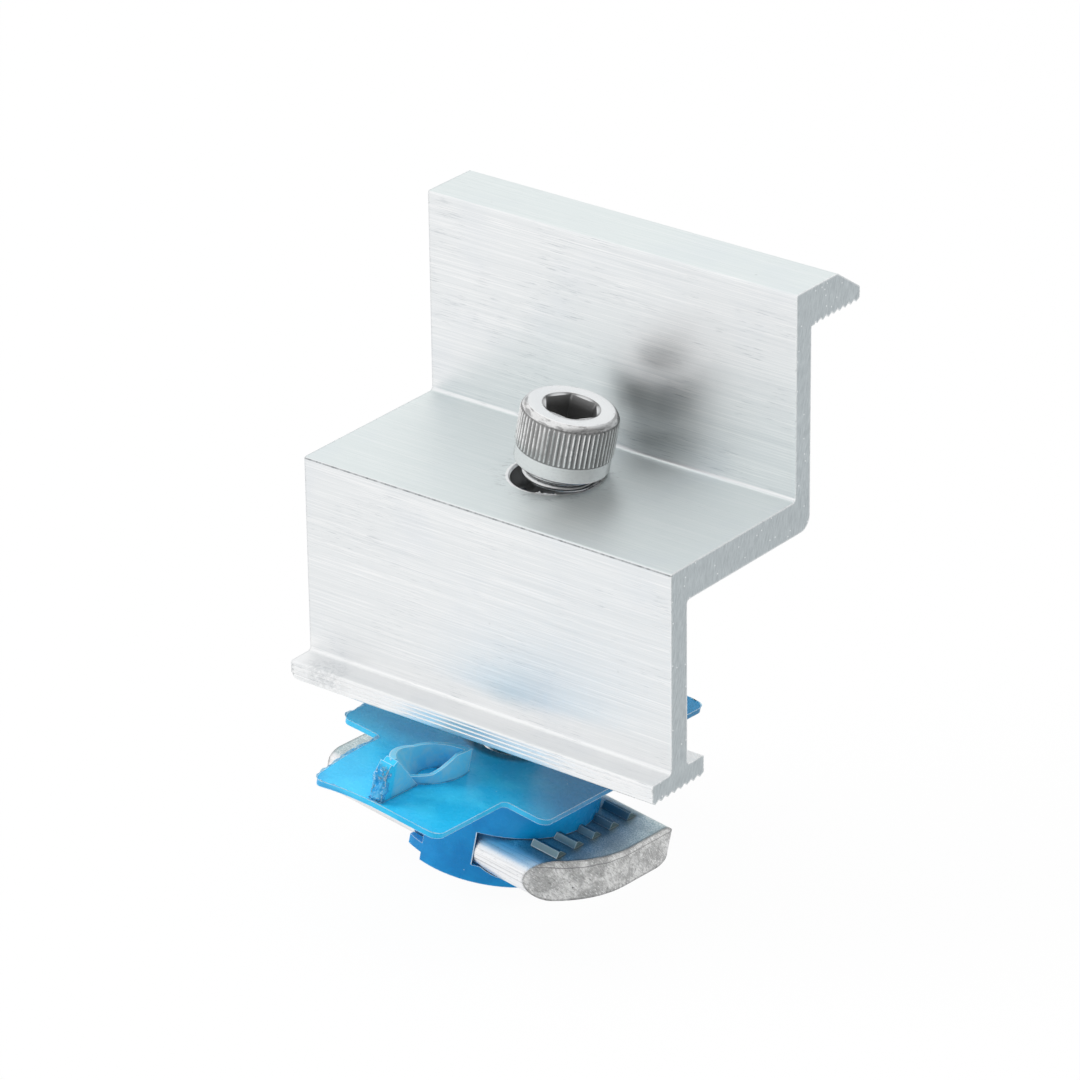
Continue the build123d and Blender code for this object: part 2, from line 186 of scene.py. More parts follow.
class Nodes:
    """Makes the nodes of one tree."""

    def __init__(self, tree):
        self.tree = tree

    def join(self, socket, value):
        if isinstance(value, Value):
            self.tree.links.new(value.socket, socket)
        elif isinstance(value, tuple) and socket.type == "RGBA":
            socket.default_value = (*value, 1)
        else:
            socket.default_value = value

    def node(self, kind, settings=None, sockets=None, out=0):
        made = self.tree.nodes.new("ShaderNode" + kind)
        for name, value in (settings or {}).items():
            setattr(made, name, value)
        for name, value in (sockets or {}).items():
            self.join(made.inputs[name], value)
        return Value(self, made.outputs[out])

    def also(self, value, out):
        """Another output of the node that a value comes from."""
        return Value(self, value.socket.node.outputs[out])

    def math(self, operation, a, b=0.0):
        return self.node("Math", {"operation": operation}, {0: a, 1: b})

    def vector(self, operation, a, b=(0, 0, 0), out=0, **named):
        sockets = {0: a, 1: b, **named}
        return self.node("VectorMath", {"operation": operation}, sockets, out)

    def dot(self, a, b):
        return self.vector("DOT_PRODUCT", a, b, out=1)

    def hypot(self, a, b):
        return self.math("SQRT", a * a + b * b)

    def ramp(self, value, low, high):
        """0 below low and 1 above high, with a soft step between."""
        sockets = {"Value": value, "From Min": low, "From Max": high}
        return self.node("MapRange", {"interpolation_type": "SMOOTHSTEP"}, sockets)

    def band(self, value, low, high, soft):
        """1 between low and high."""
        above = self.ramp(value, low - soft, low)
        return above * (1 - self.ramp(value, high, high + soft))


class Paint(Nodes):
    """The nodes of one finish, round a Principled shader."""

    def __init__(self, name, **constants):
        self.material = bpy.data.materials.new(name)
        self.material.use_nodes = True
        super().__init__(self.material.node_tree)
        self.shader = self.tree.nodes["Principled BSDF"]
        for socket, value in constants.items():
            self.shader.inputs[socket.replace("_", " ")].default_value = value
        place = self.node("TexCoord", out="Object")
        self.place = self.vector("SCALE", place, Scale=1 / MM)

    def axes(self):
        """The three object coordinates, in millimetres."""
        x = self.node("SeparateXYZ", sockets={0: self.place})
        return x, self.also(x, "Y"), self.also(x, "Z")

    def screw_axes(self):
        """Millimetres along the leaning screw's right, ahead and up axes."""
        offset = self.vector("SUBTRACT", self.place, SCREW_FOOT)
        return [self.dot(offset, axis) for axis in (SCREW_RIGHT, SCREW_AHEAD, SCREW_UP)]

    def distance(self, middle, counted=(1, 1, 1)):
        """Millimetres from middle, along the axes that are counted."""
        offset = self.vector("SUBTRACT", self.place, middle)
        return self.vector("LENGTH", self.vector("MULTIPLY", offset, counted), out=1)

    def facing(self, axis):
        """How far the surface faces along an axis, in the object's own frame."""
        return self.dot(self.node("TexCoord", out="Normal"), axis)

    def edges(self, radius, low, high):
        """1 along the edges of the form, within about radius in millimetres."""
        rounded = self.node("Bevel", {"samples": 4}, {"Radius": radius * MM})
        true = self.node("NewGeometry", out="Normal")
        return self.ramp(1 - self.dot(rounded, true), low, high)

    def point(self, x, y, z):
        return self.node("CombineXYZ", sockets={0: x, 1: y, 2: z})

    def noise(self, vector, detail, roughness, scale=1.0):
        sockets = {
            "Vector": vector, "Scale": scale, "Detail": detail, "Roughness": roughness
        }
        return self.node("TexNoise", sockets=sockets)

    def streaks(self, axes, along, across, detail, roughness):
        """Noise drawn out along the first axis."""
        x, y, z = axes
        place = self.point(x * along, y * across, z * across)
        return self.noise(place, detail, roughness)

    def specks(self, scale, size, share):
        """Round marks: scale sets how close, share how many of the places have one."""
        sockets = {"Vector": self.place, "Scale": scale}
        cells = self.node("TexVoronoi", sockets=sockets)
        tone = self.node("SeparateColor", sockets={0: self.also(cells, "Color")})
        return (1 - self.ramp(cells, size * 0.4, size)) * (tone < share)

    def layers(self, colour, *coats):
        """Lays coats over a colour, each as far as its mask lets it show."""
        for mask, coat in coats:
            sockets = {0: mask, 6: colour, 7: coat}
            colour = self.node("Mix", {"data_type": "RGBA"}, sockets, out=2)
        return colour

    def bump(self, height, distance):
        """Relief of distance in millimetres."""
        sockets = {"Height": height, "Distance": distance * MM, "Strength": 1.0}
        return self.node("Bump", sockets=sockets)

    def finish(self, **linked):
        for socket, value in linked.items():
            self.join(self.shader.inputs[socket.replace("_", " ")], value)
        return self.material


def grey(tone):
    return (tone, tone, tone)


WHITE = grey(1)
BRIGHT_EDGE = (0.97, 0.98, 0.98)

# Extruded aluminium
WEB_GREY = (0.835, 0.855, 0.865)
# Painted shade: level tops darker and greener than the webs
SHADED_LEVEL_GREY = (0.78, 0.835, 0.835)
# Painted light: the foot lighter than the webs
LIT_FOOT_GREY = (0.91, 0.92, 0.925)
DARK_LINE = (0.60, 0.64, 0.67)
LIGHT_LINE = (0.93, 0.94, 0.95)
SCRATCH = (0.42, 0.46, 0.49)
BLUE_CLOUD = (0.66, 0.72, 0.80)
SAWN_DARK = (0.44, 0.485, 0.505)
SAWN_LIGHT = (0.58, 0.63, 0.65)
SAWN_MOTTLE = (0.70, 0.74, 0.76)
SAWN_SPECK = (0.9, 0.92, 0.93)
DARK_RIM = (0.20, 0.22, 0.23)
NICKED_EDGE = (0.16, 0.18, 0.19)
DENT = (0.22, 0.24, 0.25)
SMUDGE = (0.35, 0.38, 0.40)
# Painted shade inside the hole
BORE_SHADE = (0.12, 0.125, 0.13)
HOLE_SMEAR = (0.40, 0.43, 0.44)


def extruded_aluminium():
    """Mill finish with drawing lines along X, sawn ends, wear round the hole, and painted
    light and shade: darker level tops, a lighter foot, a dark hole wall.
    """
    paint = Paint("extruded_aluminium", Metallic=1.0)
    axes = x, y, z = paint.axes()
    fine = paint.streaks(axes, 0.03, 4.5, 3, 0.6)
    coarse = paint.streaks(axes, 0.012, 1.1, 2, 0.5)
    hair = paint.streaks(axes, 0.06, 14, 1, 0.5)
    mottle = paint.noise(paint.place, 4, 0.7, 1.6)

    flat = paint.ramp(abs(paint.facing((0, 0, 1))), 0.7, 0.95)
    depth = 1 - flat * 0.6
    above_foot = paint.ramp(z, FOOT_TOP + 0.8, FOOT_TOP + 4)
    dark_line = paint.ramp(coarse * 0.2 + fine * 0.5 + hair * 0.3, 0.53, 0.64)
    light_line = 1 - paint.ramp(fine * 0.6 + hair * 0.4, 0.36, 0.46)
    drawn = abs(paint.streaks(axes, 0.006, 1.5, 4, 0.75) - 0.5)
    drawn = (1 - paint.ramp(drawn, 0.004, 0.016)) * depth
    patches = paint.ramp(paint.noise(paint.place, 2, 0.5, 0.16), 0.45, 0.62)
    scratch = paint.ramp(paint.streaks(axes, 0.3, 8, 3, 0.6), 0.57, 0.68)
    cloud = paint.ramp(paint.noise(paint.place, 3, 0.5, 0.09), 0.5, 0.72)

    sawn = abs(x) > HALF_LENGTH - 0.03
    saw_place = paint.point(0, (y * 0.25 + z) * 0.5, (y - z * 0.25) * 5)
    saw_line = paint.noise(saw_place, 3, 0.7)
    cut = paint.layers(
        SAWN_DARK,
        (paint.ramp(saw_line, 0.3, 0.7), SAWN_LIGHT),
        (paint.ramp(mottle, 0.55, 0.75) * 0.3, SAWN_MOTTLE),
        (paint.specks(1.6, 0.22, 0.05), SAWN_SPECK),
    )
    corner = paint.edges(0.45, 0.02, 0.15) * (abs(x) > HALF_LENGTH - 0.45)
    chips = paint.ramp(mottle, 0.55, 0.64)

    nicks = paint.ramp(paint.noise(paint.point(x * 0.9, 0, 0), 4, 0.7), 0.3, 0.66)
    front_edge = paint.band(z, -0.3, -0.16, 0.05) * (y < STEP_FRONT + 0.3)
    dents = paint.specks(0.19, 0.07, 0.25)
    smudge = 1 - paint.ramp(paint.distance(SMUDGE_MIDDLE), 1.5, 5.0)
    smudge = smudge * paint.ramp(mottle, 0.4, 0.62)

    reach = paint.distance(HOLE_MIDDLE, (1, 1, 0))
    # Painted shade: the wall inside the hole
    bore_shade = 1 - (reach > HOLE_RADIUS + 0.04)
    rubbed = reach + mottle * 0.5
    rubbed = paint.band(rubbed, HOLE_RADIUS + 0.2, HOLE_RADIUS + 0.8, 0.08)
    smear = paint.noise(paint.point(x * 0.5 + y * 0.25, y * 1.1 - x * 0.4, 0), 3, 0.7)
    smear = paint.ramp(smear, 0.52, 0.68) * (1 - paint.ramp(reach, 6.5, 10))
    worn = paint.edges(0.2, 0.06, 0.3) * (1 - (z < FOOT_TOP - 0.3))

    colour = paint.layers(
        # painted light on the foot, under the webs' grey
        LIT_FOOT_GREY,
        (above_foot, WEB_GREY),
        # painted shade on faces that look up
        (flat * above_foot, SHADED_LEVEL_GREY),
        (dark_line * 0.3 * depth, DARK_LINE),
        (light_line * 0.6 * depth, LIGHT_LINE),
        (drawn * 0.75, WHITE),
        (scratch * patches * depth * 0.5, SCRATCH),
        (cloud * 0.12, BLUE_CLOUD),
        (sawn, cut),
        (corner * (x > 0) * 0.8, BRIGHT_EDGE),
        (corner * (0.35 * (x < 0) + chips * 0.6), DARK_RIM),
        (front_edge * (0.25 + nicks * 0.6), NICKED_EDGE),
        (dents * 0.4, DENT),
        (smudge * 0.28, SMUDGE),
        # painted shade on the hole's wall
        (bore_shade * 0.8, BORE_SHADE),
        (rubbed * (z > -0.3) * 0.9, WHITE),
        (smear * (z > -0.1) * 0.45, HOLE_SMEAR),
        (worn * 0.75, BRIGHT_EDGE),
    )
    rough = 0.33 + fine * 0.06 + flat * 0.1 + sawn * 0.13
    rough = rough - worn * 0.1 - (z > 1) * 0.03
    relief = (fine + hair * 0.9 + coarse * 0.3) * (1 - flat * 0.7)
    sawn_relief = saw_line * 0.5 + mottle * 0.5
    height = relief * (1 - sawn) + sawn_relief * sawn * 3 - dents * 2
    return paint.finish(
        Base_Color=colour, Roughness=rough, Normal=paint.bump(height, 0.012)
    )


# Nut
NUT_BRIGHT = (0.97, 0.97, 0.975)
NUT_FINE_LINE = (0.66, 0.67, 0.68)
NUT_COARSE_LINE = (0.74, 0.75, 0.76)
NUT_GRAIN = (0.30, 0.31, 0.32)
# Nut top: painted shade, tinted blue as under the holder, with pale pebbly grain
NUT_TOP_DARK = (0.40, 0.54, 0.56)
NUT_TOP_PALE = (0.84, 0.92, 0.90)
NUT_TOP_SHADE = (0.26, 0.36, 0.39)
# Ridges: painted shade along their row and on them, a painted highlight on their crests
RIDGE_ROW_SHADE = (0.12, 0.24, 0.26)
RIDGE_SHADE = (0.12, 0.21, 0.24)
RIDGE_CREST_HIGHLIGHT = (0.80, 0.88, 0.90)
END_DARK = (0.50, 0.505, 0.505)
END_PALE = (0.80, 0.805, 0.80)
END_STREAK = (0.38, 0.38, 0.375)
END_FLECK = (0.22, 0.22, 0.215)
END_PIT = (0.08, 0.08, 0.085)
END_SEAM = (0.2, 0.2, 0.205)
END_RIM = (0.10, 0.105, 0.11)


def nut_aluminium():
    """Bright bar with lines along its length, speckled rounds and mottled sawn ends;
    painted shade, tinted blue, on its top and ridges, and painted highlights on the ridge
    crests.
    """
    paint = Paint("nut_aluminium", Metallic=1.0)
    axes = u, v, h = paint.screw_axes()
    fine = paint.streaks(axes, 0.05, 4, 3, 0.6)
    coarse = paint.streaks(axes, 0.02, 0.9, 2, 0.5)
    grain = paint.noise(paint.place, 3, 0.6, 5.0)

    flat = paint.ramp(paint.facing(SCREW_UP), 0.8, 0.97)
    shade = paint.noise(paint.place, 3, 0.6, 0.35)
    # Painted shade on the face that looks up: dark teal, with pale grain and darker
    # patches
    top = paint.layers(
        NUT_TOP_DARK,
        (paint.ramp(grain, 0.42, 0.6), NUT_TOP_PALE),
        (paint.ramp(shade, 0.4, 0.65) * 0.4, NUT_TOP_SHADE),
        # painted shade along the row of ridges
        (paint.band(abs(u), RIDGES_NEAR, RIDGES_FAR, 0.8) * 0.45, RIDGE_ROW_SHADE),
    )
    # Painted shade on the ridges, a painted highlight along their crests
    ridge = paint.ramp(h, NUT_TOP + 0.01, NUT_TOP + 0.1)
    crest = paint.edges(0.22, 0.04, 0.2) * ridge

    end = paint.ramp(abs(paint.facing(SCREW_RIGHT)), 0.45, 0.7)
    end = end * (1 - (h > NUT_TOP + 0.02))
    blotch = paint.noise(paint.place, 3, 0.6, 0.4)
    slant = paint.point(u, v * 1.4 + h * 1.4, (v - h) * 0.25)
    streak = paint.noise(slant, 4, 0.7, 1.3)
    fleck = paint.noise(slant, 4, 0.8, 3.6)
    pebble = paint.noise(paint.place, 3, 0.75, 3.5)
    pits = paint.specks(0.7, 0.13, 0.15)
    wander = paint.noise(paint.point(u * 0.3, v * 0.3, 0), 2, 0.5) * 0.5
    seam = paint.band(h + wander, SEAM_LOW, SEAM_HIGH, 0.05)
    cut = paint.layers(
        END_DARK,
        (paint.ramp(blotch, 0.4, 0.58), END_PALE),
        (paint.ramp(streak, 0.46, 0.66) * 0.45, END_STREAK),
        (paint.ramp(fleck, 0.53, 0.62) * 0.7, END_FLECK),
        ((1 - paint.ramp(fleck, 0.37, 0.44)) * 0.9, WHITE),
        (paint.ramp(pebble, 0.66, 0.72) * 0.9, WHITE),
        (pits * 0.8, END_PIT),
        (seam * 0.7, END_SEAM),
    )
    rim = paint.edges(0.6, 0.01, 0.05) * (1 - ridge)
    rim = rim * (0.6 + paint.ramp(grain, 0.35, 0.6) * 0.4)

    colour = paint.layers(
        NUT_BRIGHT,
        (paint.ramp(fine, 0.5, 0.72), NUT_FINE_LINE),
        (paint.ramp(coarse, 0.55, 0.7) * 0.4, NUT_COARSE_LINE),
        (paint.ramp(grain, 0.58, 0.7) * 0.45, NUT_GRAIN),
        # painted shade on the top face
        (flat * 0.85, top),
        # painted shade on the ridges, painted highlight on their crests
        (ridge * 0.9, RIDGE_SHADE),
        (crest * 0.9, RIDGE_CREST_HIGHLIGHT),
        (end, cut),
        (rim * 0.85, END_RIM),
    )
    rough = 0.34 + fine * 0.12 + end * 0.04 + flat * 0.08
    end_relief = streak * 24 + pebble * 8 - seam
    height = fine * 0.6 + grain * 0.4 + end * end_relief - pits * 2
    return paint.finish(
        Base_Color=colour, Roughness=rough, Normal=paint.bump(height, 0.014)
    )


def stainless_screw():
    """Turned and knurled stainless steel, with painted shade in the knurl grooves and the
    socket, a painted dark reflection on the top chamfer and a painted highlight on the top
    face.
    """
    paint = Paint("stainless_screw", Metallic=1.0)
    u, v, h = paint.screw_axes()
    radius = paint.hypot(u, v)
    outside = radius > HEAD_INNER
    turned = paint.noise(paint.point(radius * 7, radius * 2, h * 7), 2, 0.5)
    grain = paint.noise(paint.place, 3, 0.6, 4.0)
    # In this finish the noise only wobbles the edges of the painted shade in the grooves
    # and on the chamfer
    dirt_and_shade_noise = paint.noise(paint.point(u * 1.2, v * 1.2, h * 0.35), 3, 0.65)

    # Painted shade: the knurl grooves darker than the crests
    knurled = paint.band(h, KNURL_LOW, KNURL_HIGH, 0.1) * outside
    crest = paint.ramp(radius + dirt_and_shade_noise * 0.12, KNURL_RADIUS - 0.11, KNURL_RADIUS + 0.03)
    groove = (1 - crest) * knurled
    smear = paint.ramp(paint.noise(paint.place, 4, 0.7, 0.9), 0.5, 0.64) * knurled
    # Painted shade in the hex socket
    socket = (radius < SOCKET_RADIUS) * (h > 2) * (1 - (h > HEAD_TOP - 0.04))
    # Painted highlight: the face that looks up, near white
    top = paint.ramp(paint.facing(SCREW_UP), 0.9, 0.98) * (h > HEAD_TOP - 0.48)
    # Painted dark reflection: a patchy dark band on the top chamfer
    chamfer = paint.band(h + dirt_and_shade_noise * 0.4, HEAD_TOP - 0.63, HEAD_TOP + 0.12, 0.15)
    chamfer = chamfer * outside * (1 - top)
    patchy = paint.noise(paint.point(u * 0.5, v * 0.5, h * 2), 4, 0.6)
    patchy = paint.ramp(patchy, 0.44, 0.62)
    nicked = paint.ramp(paint.noise(paint.place, 3, 0.7, 2.6), 0.6, 0.68)
    nicked = nicked * (radius > HEAD_INNER + 0.4)

    colour = paint.layers(
        grey(0.80),
        (turned, grey(0.90)),
        (paint.ramp(grain, 0.5, 0.75) * 0.35, grey(0.5)),
        # painted shade in the grooves and the socket
        (groove * 0.75, grey(0.10)),
        (smear * 0.5, grey(0.30)),
        (socket * 0.85, grey(0.21)),
        # painted highlight on the top face
        (top * 0.9, grey(0.99)),
        # painted dark reflection on the chamfer
        (chamfer * (0.12 + patchy * 0.6), grey(0.22)),
        (nicked * top * 0.6, grey(0.25)),
        (paint.edges(0.09, 0.03, 0.25) * 0.6, grey(0.95)),
    )
    return paint.finish(
        Base_Color=colour,
        Roughness=0.16 + grain * 0.12 + socket * 0.25 + groove * 0.2,
        Normal=paint.bump(turned * 0.4 + grain * 0.6, 0.008),
    )


def spring_wire():
    """Bright drawn wire with fine die lines and a little dirt."""
    paint = Paint("spring_wire", Metallic=1.0)
    u, v, h = paint.screw_axes()
    lines = paint.noise(paint.point(paint.hypot(u, v) * 9, 0, h * 9), 2, 0.5)
    dirt_and_shade_noise = paint.noise(paint.place, 3, 0.6, 0.8)
    dark_wire, bright_wire, dirty_wire = (
        (0.62, 0.625, 0.63), (0.78, 0.785, 0.79), (0.36, 0.35, 0.34)
    )
    colour = paint.layers(
        dark_wire,
        (lines, bright_wire),
        (paint.ramp(dirt_and_shade_noise, 0.55, 0.75) * 0.4, dirty_wire),
    )
    return paint.finish(
        Base_Color=colour,
        Roughness=0.18 + dirt_and_shade_noise * 0.15,
        Normal=paint.bump(lines, 0.006),
    )


# Blue plastic
# Partly the plastic's own depth of colour, partly painted light on the plate's top and
# painted shade below it
THIN_LIT_DEEP = (0.02, 0.50, 0.86)
THIN_LIT_LIGHT = (0.045, 0.60, 0.94)
THICK_SHADED_DEEP = (0.002, 0.24, 0.58)
THICK_SHADED_LIGHT = (0.005, 0.31, 0.68)
NEAR_BORE = (0.002, 0.24, 0.56)
# Painted shade: a dark ring on the plate round the screw's hole
BORE_RIM_SHADE = (0.003, 0.05, 0.09)
# Painted shade at the plate's back right
PLATE_SHADE_BEHIND = (0.002, 0.14, 0.36)
# Painted light at the plate's far left
PLATE_LIT_LEFT = (0.12, 0.60, 0.90)
SCOOP_HAZE = (0.28, 0.62, 0.80)
BROKEN_BLUE = (0.003, 0.25, 0.60)
STRESS_WHITE = (0.62, 0.76, 0.92)
# Painted highlight along the edges
EDGE_HIGHLIGHT = (0.86, 0.97, 1.0)
DUST = (0.75, 0.88, 0.95)


def moulded_blue():
    """Glossy blue plastic, hazy on the scoop and white if broken, with painted light and
    shade: lighter on top, deeper blue below, shaded at the back right and round the hole,
    lit at the far left, and painted highlights on its edges.
    """
    paint = Paint(
        "moulded_blue", Coat_Roughness=0.1, IOR=1.4, Specular_IOR_Level=0.25
    )
    u, v, h = paint.screw_axes()
    radius = paint.hypot(u, v)
    cloud = paint.noise(paint.place, 3, 0.5, 0.16)
    ripple = paint.noise(paint.place, 3, 0.6, 0.7)
    grain = paint.noise(paint.place, 3, 0.6, 5.0)
    # Painted light and shade: the top's lit blues and the shaded blues below
    thin_lit_top = paint.layers(THIN_LIT_DEEP, (paint.ramp(cloud, 0.38, 0.62), THIN_LIT_LIGHT))
    thick_shaded_below = paint.layers(THICK_SHADED_DEEP, (paint.ramp(cloud, 0.4, 0.6), THICK_SHADED_LIGHT))

    on_plate = h > PLATE_LOW
    near_bore = 1 - paint.ramp(radius, 5, 14)
    # Painted shade in a ring round the hole
    bore_rim_shade = (1 - paint.ramp(radius, 6.2, 7.4)) * (h > PLATE_LOW + 1)
    # Painted shade towards the plate's back right
    shade_behind = paint.ramp(u * 0.8 + v * 0.6, -3, 9) * on_plate
    # Painted light towards the plate's far left
    lit_far_left = paint.ramp(-1 * u - v * 0.5, 12, 22) * on_plate
    scoop = paint.band(v, -26.0, -12.0, 0.6) * (h > PLATE_TOP + 0.15) * (abs(u) < 4.5)
    haze = 0.35 + paint.ramp(ripple, 0.4, 0.65) * 0.4
    broken = 1 - paint.ramp(v, FIN_END + 0.2, FIN_END + 0.9)
    broken = broken * (h > PLATE_TOP + 0.1) * (abs(u) < 2.2)
    stress = paint.ramp(paint.noise(paint.place, 4, 0.8, 2.2), 0.46, 0.64)
    # Painted highlight along the edges of the form
    edge = paint.edges(0.16, 0.04, 0.16)
    dusty = paint.noise(paint.place, 1, 0.5, 0.12) + (h < PLATE_LOW + 1) * 0.2
    dust = paint.specks(1.1, 0.12, 0.2) * paint.ramp(dusty, 0.5, 0.6)

    colour = paint.layers(
        # painted light on the plate's top, over painted shade below
        thick_shaded_below,
        (paint.ramp(h, PLATE_TOP - 1.3, PLATE_TOP - 0.5), thin_lit_top),
        (near_bore * 0.4, NEAR_BORE),
        # painted shade at the plate's back right
        (shade_behind * 0.8, PLATE_SHADE_BEHIND),
        # painted shade round the hole
        (bore_rim_shade * 0.75, BORE_RIM_SHADE),
        # painted light at the far left
        (lit_far_left * 0.35, PLATE_LIT_LEFT),
        (scoop * haze, SCOOP_HAZE),
        (broken * 0.5, BROKEN_BLUE),
        (broken * stress * 0.7, STRESS_WHITE),
        # painted highlight on the edges
        (edge * (0.65 + ripple * 0.5), EDGE_HIGHLIGHT),
        (dust * 0.8, DUST),
    )
    height = ripple * 2.5 + grain * 0.3 + broken * stress * 8
    return paint.finish(
        Base_Color=colour,
        Roughness=0.2 + ripple * 0.14 + broken * 0.4 + scoop * 0.1,
        Coat_Weight=0.12 - broken * 0.12,
        Normal=paint.bump(height, 0.02),
    )


def torn_plastic():
    """Rough blue plastic, whitened where it was torn."""
    paint = Paint("torn_plastic", IOR=1.4, Specular_IOR_Level=0.3)
    lump = paint.noise(paint.place, 4, 0.75, 1.1)
    grit = paint.noise(paint.place, 3, 0.7, 3.2)
    deep, light, whitened = (0.01, 0.30, 0.68), (0.09, 0.48, 0.82), (0.62, 0.82, 0.94)
    colour = paint.layers(
        deep,
        (paint.ramp(lump, 0.38, 0.62), light),
        (paint.ramp(grit, 0.55, 0.68) * 0.7, whitened),
    )
    return paint.finish(
        Base_Color=colour, Roughness=0.3 + grit * 0.3, Normal=paint.bump(grit, 0.05)
    )


def plastic_flash():
    """Thin pale feather of plastic along the moulding's parting edges."""
    paint = Paint("plastic_flash", Coat_Roughness=0.1, IOR=1.5)
    ripple = paint.noise(paint.place, 3, 0.6, 1.2)
    blue, pale = (0.22, 0.62, 0.86), (0.72, 0.90, 0.97)
    return paint.finish(
        Base_Color=paint.layers(blue, (paint.ramp(ripple, 0.35, 0.65), pale)),
        Roughness=0.22 + ripple * 0.2,
        Coat_Weight=0.3 + ripple * 0.2,
        Normal=paint.bump(ripple, 0.02),
    )


def burr_metal():
    """Torn bright aluminium."""
    paint = Paint("burr_metal", Metallic=1.0)
    grain = paint.noise(paint.place, 3, 0.7, 4.0)
    dull, bright = (0.62, 0.65, 0.67), (0.95, 0.96, 0.97)
    return paint.finish(
        Base_Color=paint.layers(dull, (paint.ramp(grain, 0.4, 0.6), bright)),
        Roughness=0.25 + grain * 0.2,
        Normal=paint.bump(grain, 0.02),
    )


def pale_floor():
    """White studio floor that keeps a soft shadow."""
    paint = Paint("pale_floor", Base_Color=(0.9, 0.9, 0.9, 1))
    grain = paint.noise(paint.place, 2, 0.5, 0.02)
    camera = paint.node("LightPath", out="Is Camera Ray")
    glossy = paint.also(camera, "Is Glossy Ray")
    white = paint.node("Emission", sockets={"Color": WHITE, "Strength": 1.0})
    lit = Value(paint, paint.shader.outputs[0])
    seen = camera * 0.965 + glossy * 0.88
    blend = paint.node("MixShader", sockets={0: seen, 1: lit, 2: white})
    paint.join(paint.tree.nodes["Material Output"].inputs["Surface"], blend)
    return paint.finish(Roughness=0.55 + grain * 0.1)


def add_object(name, data):
    thing = bpy.data.objects.new(name, data)
    bpy.context.scene.collection.objects.link(thing)
    return thing


def add_mesh(name, bm, material):
    mesh = bpy.data.meshes.new(name)
    bm.to_mesh(mesh)
    bm.free()
    mesh.materials.append(material)
    return add_object(name, mesh)


def add_piece(name, bm, material, body, sharp):
    """A piece from bm, in millimetres, that rides on a body if one is given.

    It is smooth, but for edges that bend by more than sharp degrees.
    """
    bmesh.ops.scale(bm, vec=(MM, MM, MM), verts=bm.verts)
    bmesh.ops.recalc_face_normals(bm, faces=bm.faces)
    bm.normal_update()
    for face in bm.faces:
        face.smooth = True
    for edge in bm.edges:
        bend = math.degrees(edge.calc_face_angle(0))
        edge.smooth = len(edge.link_faces) != 2 or bend < sharp
    piece = add_mesh(name, bm, material)
    if body:
        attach(piece, body)
    return piece


def to_screw(bm):
    """Takes a piece from the screw's own frame to the object's."""
    bmesh.ops.transform(bm, matrix=SCREW_MATRIX, verts=bm.verts)


def verts_of(made):
    return [item for item in made if isinstance(item, bmesh.types.BMVert)]


def edges_of(made):
    return [item for item in made if isinstance(item, bmesh.types.BMEdge)]


def round_ring(radius):
    return lambda angle: radius


def ribbed_ring(radius, depth):
    """Straight knurl: ribs with narrow crests, each cut a little more or less deep."""
    def reach(angle):
        swing = 0.5 + 0.5 * math.cos(angle * RIB_COUNT)
        place = Vector((math.cos(angle), math.sin(angle), radius))
        wander = 1 + 0.4 * noise.noise(place * 6)
        return radius - depth * wander * (1 - swing ** 1.8)
    return reach


def hexagon_ring(apothem):
    def reach(angle):
        turned = (angle - HEX_TURN) % (math.pi / 3) - math.pi / 6
        return apothem / math.cos(turned)
    return reach


def skin_rings(bm, rings):
    """Joins rings, each a height and a reach for every angle, and closes both ends."""
    verts = bmesh.ops.create_circle(bm, segments=RING_POINTS, radius=1)["verts"]
    edges = bm.edges[:]
    bmesh.ops.edgeloop_fill(bm, edges=edges)
    for i, (height, reach) in enumerate(rings):
        if i:
            verts = verts_of(bmesh.ops.extrude_edge_only(bm, edges=edges)["geom"])
            ring = set(verts)
            edges = [
                edge for edge in bm.edges
                if edge.verts[0] in ring and edge.verts[1] in ring
            ]
        for vert in verts:
            angle = math.atan2(vert.co.y, vert.co.x)
            length = reach(angle)
            vert.co = (length * math.cos(angle), length * math.sin(angle), height)
    bmesh.ops.edgeloop_fill(bm, edges=edges)


def screw_head(material):
    """Knurled socket head, from its underside up and down into the hexagon."""
    bm = bmesh.new()
    knurl = ribbed_ring(KNURL_RADIUS, RIB_DEPTH)
    rings = [
        (0.02, round_ring(SHANK_RADIUS + 0.02)),
        (0.02, round_ring(5.85)),
        (0.10, round_ring(6.13)),
        (0.28, round_ring(6.30)),
        (0.55, round_ring(BAND_RADIUS)),
        (2.20, round_ring(BAND_RADIUS)),
        (2.36, round_ring(6.40)),
        (2.52, ribbed_ring(6.46, 0.05)),
        (2.75, knurl),
        (4.00, knurl),
        (5.40, knurl),
        (6.80, knurl),
        (7.35, ribbed_ring(6.60, RIB_DEPTH)),
        (7.58, ribbed_ring(6.53, 0.12)),
        (7.74, round_ring(6.39)),
        (7.98, round_ring(6.29)),
        (8.20, round_ring(6.13)),
        (8.38, round_ring(5.92)),
        (8.46, round_ring(5.76)),
        (HEAD_TOP, round_ring(5.70)),
        (HEAD_TOP, round_ring(3.98)),
        (8.45, round_ring(3.93)),
        (8.30, hexagon_ring(HEX_APOTHEM + 0.32)),
        (7.40, hexagon_ring(HEX_APOTHEM + 0.05)),
        (6.50, hexagon_ring(HEX_APOTHEM)),
        (5.20, hexagon_ring(HEX_APOTHEM)),
        (4.00, hexagon_ring(HEX_APOTHEM)),
        (3.90, hexagon_ring(HEX_APOTHEM - 0.1)),
        (3.85, round_ring(2.8)),
        (2.35, round_ring(0.2)),
    ]
    skin_rings(bm, rings)
    to_screw(bm)
    piece = add_piece("screw_head", bm, material, "screw", 32)
    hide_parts("cap_screw")


